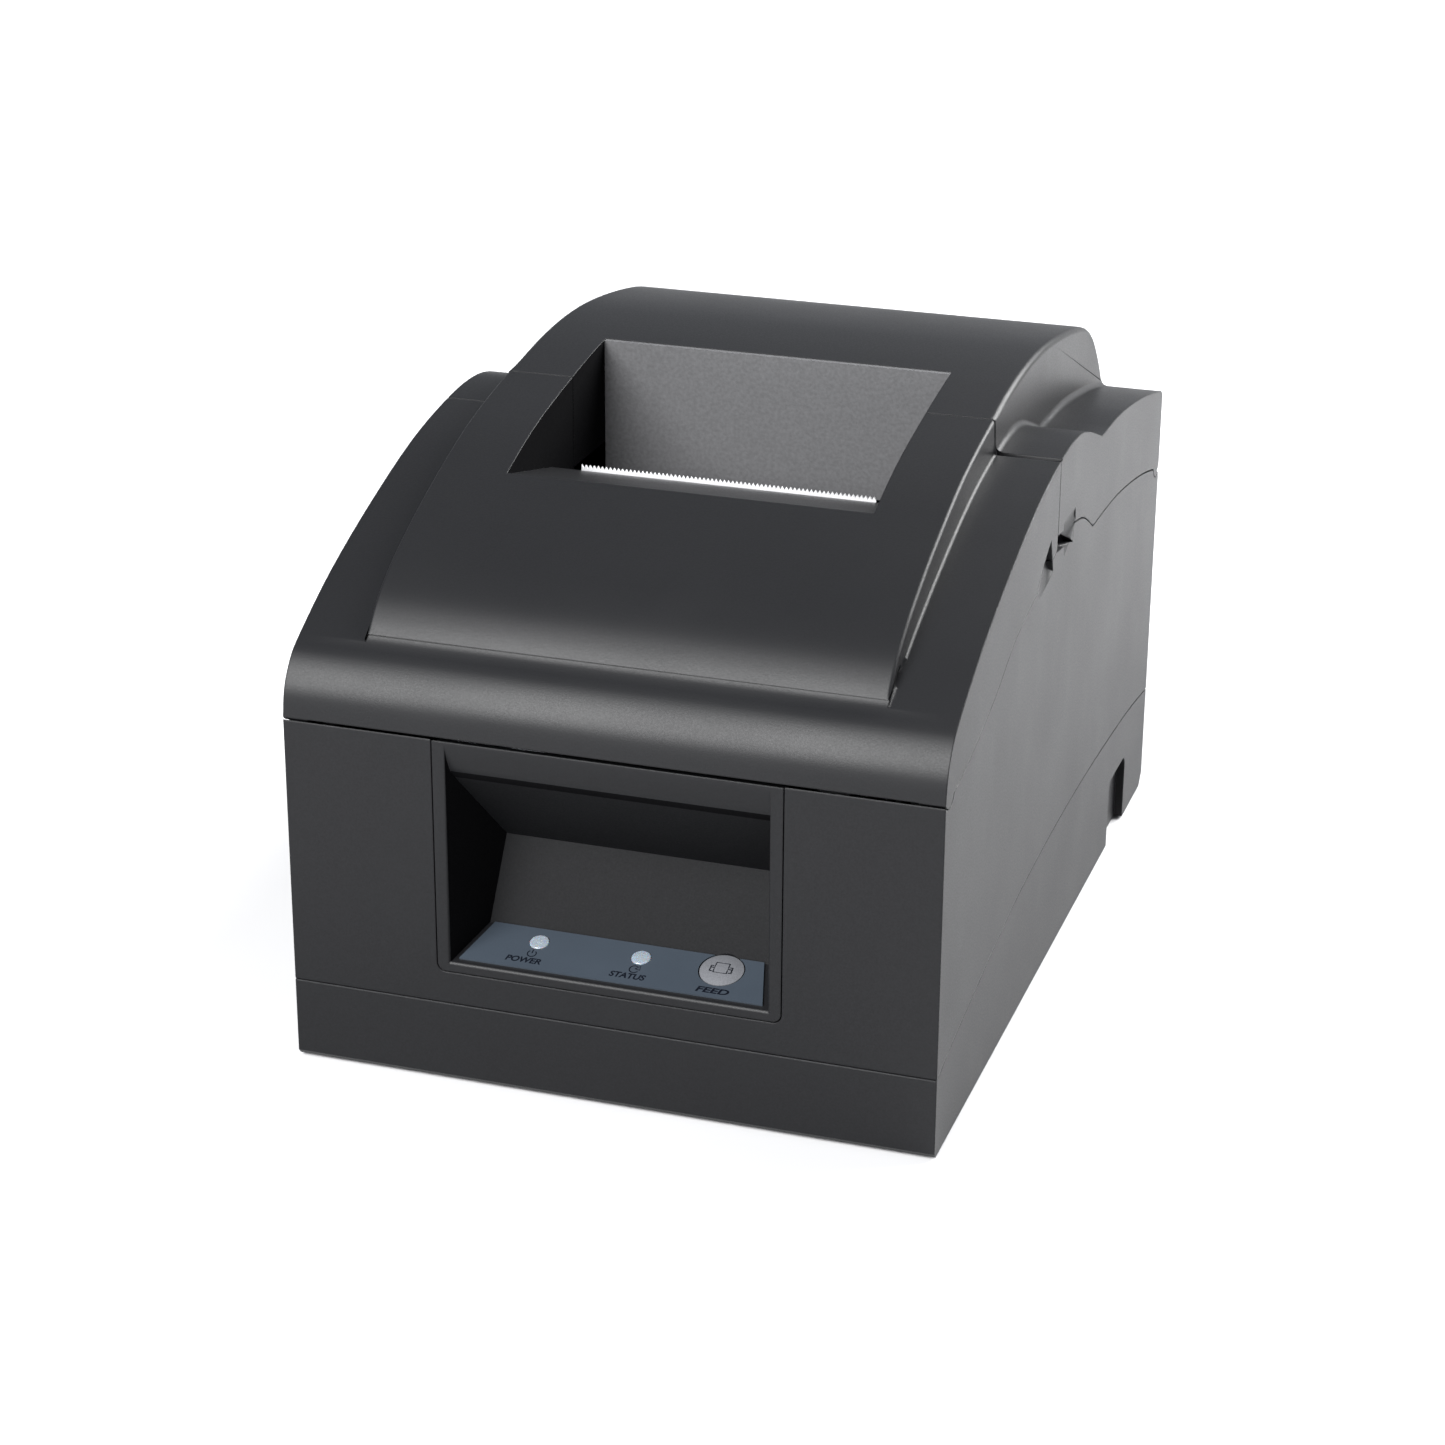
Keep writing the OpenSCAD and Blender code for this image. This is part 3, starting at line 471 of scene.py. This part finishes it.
def repeated(piece, *steps):
    """The piece and a copy of it at each step, all as one list."""
    made = [piece]
    for step in steps:
        only(piece)
        bpy.ops.object.duplicate()
        other = bpy.context.object
        other.data.transform(Matrix.Translation(Vector(step) * MM))
        made.append(other)
    return made


def joined(name, parts):
    """All the parts as one mesh with one name."""
    only(*parts)
    if len(parts) > 1:
        bpy.ops.object.join()
    piece = bpy.context.object
    piece.name = piece.data.name = name
    return piece


def detail(name, parts, finish, body="base", slot=None):
    """One finished piece, made of small parts."""
    return finish_piece(joined(name, parts), finish, body)


def strokes(name, lines, width):
    """Thin round strokes in the XY plane along lines of points, in millimetres, as a mesh."""
    curve = bpy.data.curves.new(name, "CURVE")
    curve.dimensions = "3D"
    curve.bevel_depth, curve.bevel_resolution, curve.use_fill_caps = width / 2 * MM, 1, True
    for line in lines:
        spline = curve.splines.new("POLY")
        spline.points.add(len(line) - 1)
        for point, (x, y) in zip(spline.points, line):
            point.co = (x * MM, y * MM, 0, 1)
    holder = bpy.data.objects.new(name, curve)
    bpy.context.scene.collection.objects.link(holder)
    only(holder)
    bpy.ops.object.convert(target="MESH")
    return bpy.context.object


def crisp_copy(node, width=0.25, shortest=1.5):
    """A CAD node again with its longer edges slightly broken, as a part from a tool has them."""
    piece = merged_copy(node, node + "_part")
    round_edges(piece, width, lambda at, way, e: e.calc_length() > shortest * MM, segments=2,
                sharper=50, clamp=True)
    return finish_piece(piece, slot_of[node], body_of[node], (node,), smooth=40)


# ---------------------------------------------------------------- the shell
def paint_shade_on_faces(piece, test, finish="painted_recess_shade"):
    """Paints shade on the chosen faces: a darker, duller finish that stands for the deep shade they lie in.
    """
    piece.data.materials.append(finishes[finish])
    for f in piece.data.polygons:
        if test(f.center / MM, f.normal):
            f.material_index = len(piece.data.materials) - 1


def soft_shell():
    """The outer mouldings, their long edges rounded as moulded."""
    crown_edge_x, crown_foot = 62.5, 106
    for node, radius in (("roll_cover", 1.5), ("front_cover", 0.8)):
        piece = merged_copy(node, node + "_shell")
        round_edges(piece, radius, lambda at, way, e: abs(abs(at.x) - crown_edge_x) < 0.2
                    and at.z > crown_foot and abs(way.x) < 0.2 and e.calc_length() > 0.6 * MM, segments=4)
        finish_piece(piece, "shell", body_of[node], replaces=(node,), smooth=28, even=True)
        # Painted shade on the left cheek of the paper window; the right one keeps the shell's finish
        paint_shade_on_faces(piece, lambda at, n: n.x > 0.9 and -48 < at.x < -42 and -60 < at.y < 25 and at.z > 116)
    for node in ("middle_case", "bottom_case"):
        piece = merged_copy(node, node + "_shell")
        finish_piece(piece, "shell", body_of[node], replaces=(node,), smooth=28, even=True)
    insert = merged_copy("front_insert", "front_insert_shell")
    round_edges(insert, 0.5, lambda at, way, e: at.y < -112.9 and abs(at.x) < 40 and 31 < at.z < 86
                and e.calc_length() > 10 * MM)
    finish_piece(insert, "shell", "base", replaces=("front_insert",), smooth=28, even=True)
    # Painted shade on the ceiling and left cheek of the recess, and then on its back; the right cheek stays
    # as the shell
    paint_shade_on_faces(insert, lambda at, n: -111.5 < at.y < -92 and (n.z < -0.3 or n.x > 0.5)
               and 33 < at.z < 84 and abs(at.x) < 39)
    paint_shade_on_faces(insert, lambda at, n: at.y > -110 and n.y < -0.5 and 38 < at.z < 80 and abs(at.x) < 37,
               "painted_recess_back_shade")


# ---------------------------------------------------------------- the control panel
press = Vector(next(j["axis"] for j in record["behaviour"]["joints"] if j["name"] == "feed_button_press"))
panel_tilt = math.atan2(press.y, -press.z)
label_top = 0.5
on_label = Matrix.Translation(Vector((0, -106, 33.92)) * MM) @ Matrix.Rotation(panel_tilt, 4, "X")


def set_down(piece, height, at=(0, 0)):
    """Moves a flat drawing from the XY plane to the label, height millimetres above its base."""
    only(piece)
    bpy.ops.object.transform_apply(location=True, rotation=True, scale=True)
    piece.data.transform(on_label @ Matrix.Translation(Vector((at[0], at[1], height)) * MM))
    return piece


def printed_word(word, width, at):
    """A function word in slanted print, width millimetres wide, centred at a place on the label."""
    bpy.ops.object.text_add()
    text = bpy.context.object
    text.data.body = word
    text.data.size = 2.45 * MM
    text.data.align_x, text.data.align_y = "CENTER", "CENTER"
    text.data.offset = 0.075 * MM
    text.data.extrude = 0.012 * MM
    text.data.shear = 0.18
    bpy.context.view_layer.update()
    text.scale.x = width * MM / text.dimensions.x
    bpy.ops.object.convert(target="MESH")
    piece = bpy.context.object
    piece.name = piece.data.name = "word_" + word.lower()
    set_down(piece, label_top + 0.01, at=at)
    return finish_piece(piece, dark_ink, "base")


def drawn_lines(name, lines, width, at, height=label_top, body="base"):
    """Strokes printed on the label or on the button, in millimetres from at."""
    piece = strokes(name, lines, width)
    piece.scale.z = 0.12
    set_down(piece, height, at=at)
    return finish_piece(piece, dark_ink, body)


def arc(radius, start, end, steps=20, middle=(0, 0)):
    return [(middle[0] + radius * math.cos(math.radians(start + (end - start) * k / steps)),
             middle[1] + radius * math.sin(math.radians(start + (end - start) * k / steps)))
            for k in range(steps + 1)]


def control_panel():
    for word, width, at in (("POWER", 8.8, (-22.2, -4.1)), ("STATUS", 8.8, (3.5, -4.1)),
                            ("FEED", 8.0, (24.4, -4.7))):
        printed_word(word, width, at)
    drawn_lines("power_sign", [arc(1.05, 130, 410), [(0, 0.1), (0, 1.35)]], 0.3, (-20.9, -1.55))
    drawn_lines("status_sign", [arc(1.15, 60, 330), [(0.15, 0.2), (1.2, 1.2), (1.35, -0.1), (0.15, 0.2)]],
                0.3, (4.5, -1.55))


def lamps_and_button():
    def above(height):
        """Edges higher than a height over the label's base."""
        return lambda at, way, e: (on_label.inverted() @ (at * MM)).z > height * MM

    for node in ("power_lamp", "status_lamp"):
        piece = merged_copy(node, node + "_lens")
        round_edges(piece, 0.3, above(0.6), segments=4)
        finish_piece(piece, "lamp", "base", replaces=(node,))
    cap = merged_copy("feed_button", "feed_button_cap")
    round_edges(cap, 0.7, above(0.4), segments=4, sharper=40)
    finish_piece(cap, "button", "button", replaces=("feed_button",))
    # A sheet coming out of a roller, drawn on the button
    guide = [(1.9, 0.5), (2.6, 0.5), (2.6, -1.3), (1.9, -1.3)]
    sign = [[(-x, y) for x, y in guide], guide,
            [(-1.6, 0.1), (-1.6, 1.7), (1.6, 1.7), (1.6, 0.1)], [(-1.9, -0.1), (1.9, -0.1)],
            [(-1.6, -0.4), (-1.6, -1.6), (1.6, -1.6), (1.6, -0.4)], [(-2.6, -0.1), (2.6, -0.1)]]
    drawn_lines("feed_sign", sign, 0.3, (24.5, 2.6), 1.07, "button")


# ---------------------------------------------------------------- the mechanism
def crossed_screw(at, radius, height, axis="Z"):
    """A pan head with a cross recess."""
    head = drum((0, 0, 0), radius, height, "Z", soft=height * 0.35, sides=24, dish=0.1)
    slots = [block((-radius * 0.55, -0.28, height - 0.25), (radius * 0.55, 0.28, height + 0.02), 0.05),
             block((-0.28, -radius * 0.55, height - 0.25), (0.28, radius * 0.55, height + 0.02), 0.05)]
    for cutter in slots:
        cut = head.modifiers.new("cross", "BOOLEAN")
        cut.object, cut.solver = cutter, "EXACT"
        only(head)
        bpy.ops.object.modifier_apply(modifier="cross")
        bpy.data.objects.remove(cutter)
    return stand(head, at, axis)


def ribbon_and_head():
    low, high = corners("ribbon_cassette")
    lid_top = 100.9
    grip = block((low.x + 6, low.y + 5, lid_top), (low.x + 7.2, high.y - 48, lid_top + 0.8), 0.25)
    detail("cassette_grips", repeated(grip, *[(3.2 * k, 0, 0) for k in range(1, 4)]), "black_plastic")
    badge = block((-38.5, -92.6, 102.05), (-14, -71.6, 102.45), 0.15, taper=0.97)
    detail("cassette_badge", [badge], "grey_plastic")
    bosses = [drum((x, y, lid_top), 2.2, 0.8, dish=0.35, sides=24)
              for x, y in ((52, -93), (-53, -93), (52, -70), (-53, -70))]
    detail("cassette_bosses", bosses, "black_plastic")
    low, high = corners("ribbon_knob")
    middle = (low + high) / 2
    cap = drum((middle.x, middle.y, high.z - 0.15), 4.6, 0.5, dish=0.3, sides=40)
    detail("knob_cap", [cap], "grey_plastic", "ribbon_drive")
    # The pins of the print head's wires, and the block that guides the wires to the ribbon
    low, high = corners("print_head")
    tail = block((-8, low.y + 0.4, high.z - 0.6), (-7.4, low.y + 1.2, high.z + 0.3), 0.08, taper=0.6)
    detail("head_tails", repeated(tail, *[(2 * k, 0, 0) for k in range(1, 9)]), gold, "carriage", "steel")
    nose = block((-3.6, -23.1, 89.3), (3.6, -22.35, 97.7), 0.2)
    edit(nose)
    pick_faces(nose, lambda at, n: n.y > 0.9)
    bpy.ops.mesh.inset(thickness=0.7 * MM)
    bpy.ops.transform.translate(value=(0, -0.4 * MM, 0))
    done()
    detail("head_nose", [nose], "black_plastic", "carriage")


def clips_and_screws():
    rings = []
    for node in ("guide_shaft", "guide_rod"):
        low, high = corners(node)
        y, z, radius = (low.y + high.y) / 2, (low.z + high.z) / 2, (high.z - low.z) / 2
        for x in (low.x + 0.5, high.x - 1.0):
            rings.append(drum((x, y, z), radius + 1.1, 0.5, "X", 0.1))
    detail("retaining_rings", rings, "steel")
    board_top = corners("main_board")[1].z
    heads = [crossed_screw((x, y, board_top), 2.6, 1.4) for x in (-55, 55) for y in (24, 100)]
    detail("board_screws", heads, "steel")
    plate_face = corners("connector_plate")[1].y
    heads = [crossed_screw((x, plate_face, 16), 2.3, 1.0, "Y") for x in (-60, 58)]
    detail("plate_screws", heads, "steel")


def motors():
    low, high = corners("carriage_motor")
    x, y = (low.x + high.x) / 2, (low.y + high.y) / 2
    beads = [drum((x, y, z), 10.62, 0.9, soft=0.2, sides=48) for z in (low.z + 1.2, high.z - 3.4)]
    detail("carriage_motor_beads", beads, "motor_can")
    low, high = corners("feed_motor")
    y, z = (low.y + high.y) / 2, (low.z + high.z) / 2
    beads = [drum((x, y, z), 14.1, 0.8, "X", sides=56) for x in (low.x + 2, high.x - 4)]
    detail("feed_motor_beads", beads, "motor_can")
    plug = block((24, y - 3.5, low.z - 3.4), (32, y + 3.5, low.z + 0.9), 0.3)
    detail("feed_motor_plug", [plug], "gear_plastic")


def boards():
    top = corners("main_board")[1].z
    # Chip legs: down both sides of the processor, along its two ends, and along the driver
    pitch, across = 1.05, 20.8
    leg = block((-16.9, 46.0, top), (-15.9, 46.45, top + 0.5), 0.06)
    legs = repeated(leg, *[(0, pitch * k, 0) for k in range(1, 16)])
    legs += repeated(leg, *[(across, pitch * k, 0) for k in range(16)])
    leg = block((-14.4, 43.1, top), (-13.95, 44.1, top + 0.5), 0.06)
    legs += repeated(leg, *[(pitch * k, 0, 0) for k in range(1, 16)],
                     *[(pitch * k, across, 0) for k in range(16)])
    detail("processor_legs", legs, "steel")
    leg = block((14.6, 49.2, top), (15.1, 50.2, top + 0.5), 0.06)
    legs = repeated(leg, *[(1.5 * k, 0, 0) for k in range(1, 8)], *[(1.5 * k, 8.6, 0) for k in range(8)])
    detail("driver_legs", legs, "steel")
    # Resistors; the last three have no end caps
    places = [(4, 0), (8, 0), (12, 3), (0, 6), (4, 8), (28, -6), (33, -6), (38, -6), (34, 30), (34, 34),
              (34, 38), (20, 40), (14, 40), (58, 42), (58, 46), (62, 20)]
    body = block((-30, 36, top), (-27.4, 37.4, top + 0.7), 0.12)
    detail("small_parts", repeated(body, *[(x, y, 0) for x, y in places]), "chips")
    caps = repeated(block((-30.02, 35.98, top), (-29.5, 37.42, top + 0.74), 0.1), (2.1, 0, 0))
    caps = joined("small_part_end", caps)
    detail("small_part_ends", repeated(caps, *[(x, y, 0) for x, y in places[:-3]]), "steel")
    for k, x in enumerate((-50, -38)):
        detail(f"capacitor_top_{k}", [drum((x, 56, top + 15.6), 4.55, 0.9, dish=0.25, sides=40)], "motor_can")
    pin = block((-45.1, 23.4, top + 3.6), (-44.5, 24.0, top + 6.6), 0.08, taper=0.6)
    detail("header_pins", repeated(pin, *[(6 * k, 0, 0) for k in range(1, 6)]), gold, slot="steel")
    lands = [drum((x, y, top - 0.02), 0.8, 0.35, soft=0.15, sides=16, dish=0.1)
             for x, y in [(-20 + 5 * k, 92) for k in range(9)] + [(-50 + 4 * k, 72) for k in range(5)]]
    detail("solder_lands", lands, "steel")


def sockets():
    pitch = 1.27
    for node, count, width, name in (("drawer_port", 6, 0.5, "drawer"), ("network_port", 8, 0.45, "network")):
        low, high = corners(node)
        x = (low.x + high.x) / 2 - pitch * (count - 1) / 2
        wire = block((x - width / 2, high.y - 10.5, high.z - 4.2),
                     (x + width / 2, high.y - 3.2, high.z - 3.7), 0.1)
        edit(wire)
        pick_faces(wire, lambda at, n: n.y > 0.9)
        bpy.ops.transform.translate(value=(0, 0, -1.6 * MM))
        done()
        wires = repeated(wire, *[(pitch * k, 0, 0) for k in range(1, count)])
        detail(name + "_contacts", wires, gold, slot="steel")
    low, high = corners("usb_port")
    x = (low.x + high.x) / 2
    contact = block((x - 2.1, high.y - 12, 17.15), (x - 1.1, high.y - 4.2, 17.4), 0.06)
    contacts = repeated(contact, (3.2, 0, 0), (0, 0, -3.55), (3.2, 0, -3.55))
    detail("data_contacts", contacts, gold, slot="steel")
    low, high = corners("network_port")
    for side, x in (("left", low.x + 0.9), ("right", high.x - 3.1)):
        window = block((x, high.y - 0.3, high.z - 2.4), (x + 2.2, high.y + 0.15, high.z - 1.0), 0.15)
        detail("network_lamp_" + side, [window], "lamp")


def switch_marks():
    """The plain on and off marks of the power rocker, laid on its tilted faces."""
    low, high = corners("power_rocker")
    marks = []
    for z, lines in ((low.z + 4.4, [arc(1.25, 0, 360, 24)]), (high.z - 4.4, [[(0, -1.4), (0, 1.4)]])):
        behind = Vector(((low.x + high.x) / 2, high.y + 20, z)) * MM
        _, spot, normal, _ = nodes["power_rocker"].ray_cast(behind, Vector((0, -1, 0)))
        mark = strokes("rocker_mark", lines, 0.34)
        side = Vector((-1, 0, 0))
        onto = Matrix((side, normal.cross(side), normal)).transposed().to_4x4()
        mark.data.transform(Matrix.Translation(spot) @ onto @ Matrix.Scale(0.2, 4, (0, 0, 1)))
        marks.append(mark)
    detail("rocker_marks", marks, lamp_white, "rocker", "black_plastic")


def tooled_parts():
    for node in ("ribbon_cassette", "carriage", "print_head", "platen", "near_end_lever", "power_inlet",
                 "drawer_port", "usb_port", "network_port", "board_parts", "cover_switch", "pulley_bracket",
                 "rubber_feet"):
        crisp_copy(node)
    # The CAD's idler pin is flush with the underside of the carriage at the end of its travel, and
    # here the pin is made 0.3 mm shorter
    pin = bpy.data.objects["pulley_bracket_part"]
    edit(pin, "VERT")
    pin_top = max(v.co.z for v in pin.data.vertices) / MM
    pick_faces(pin, lambda at, n: n.z > 0.9 and at.z > pin_top - 0.1)
    bpy.ops.transform.translate(value=(0, 0, -0.3 * MM))
    done()


place_camera()
soft_shell()
control_panel()
lamps_and_button()
ribbon_and_head()
clips_and_screws()
motors()
boards()
sockets()
switch_marks()
tooled_parts()
for node, thing in nodes.items():
    thing.data.materials.clear()
    thing.data.materials.append(tear_steel if node == "tear_bar" else finishes[slot_of[node]])

# ---------------------------------------------------------------- studio
bpy.ops.object.select_all(action="DESELECT")
bpy.ops.mesh.primitive_plane_add(size=30)
floor = bpy.context.object
floor.name = "studio_floor"
# Painted glow: the floor gives off light from about 0.7 m outwards, brighter further out, standing in for a
# bright room
paper = Finish("studio_paper", Roughness=0.9, Specular_IOR_Level=0.1, Emission_Strength=1.0)
tooth = paper.noise(60, 3)
reach = paper.node("VectorMath", {"operation": "LENGTH"}, {0: paper.place()}, out=1)
floor.data.materials.append(paper.dress(
    Base_Color=paper.tint(tooth, (0.46, 0.46, 0.465), (0.48, 0.48, 0.485)),
    Emission_Color=paper.steps(reach * 0.25, (0.17, 0), (0.42, 0.95))))
soft_light("front_softbox", (-0.25, -0.78, 0.57), 1.3, 1.0, 22)
soft_light("floor_wash", (0.62, 0.66, 0.72), 1.1, 0.9, 22)
world = bpy.data.worlds.new("studio_room")
bpy.context.scene.world = world
world.use_nodes = True
world.node_tree.nodes["Background"].inputs[0].default_value = (0.33, 0.345, 0.37, 1)
world.node_tree.nodes["Background"].inputs[1].default_value = 1.0
bpy.context.scene.view_settings.view_transform = "Standard"
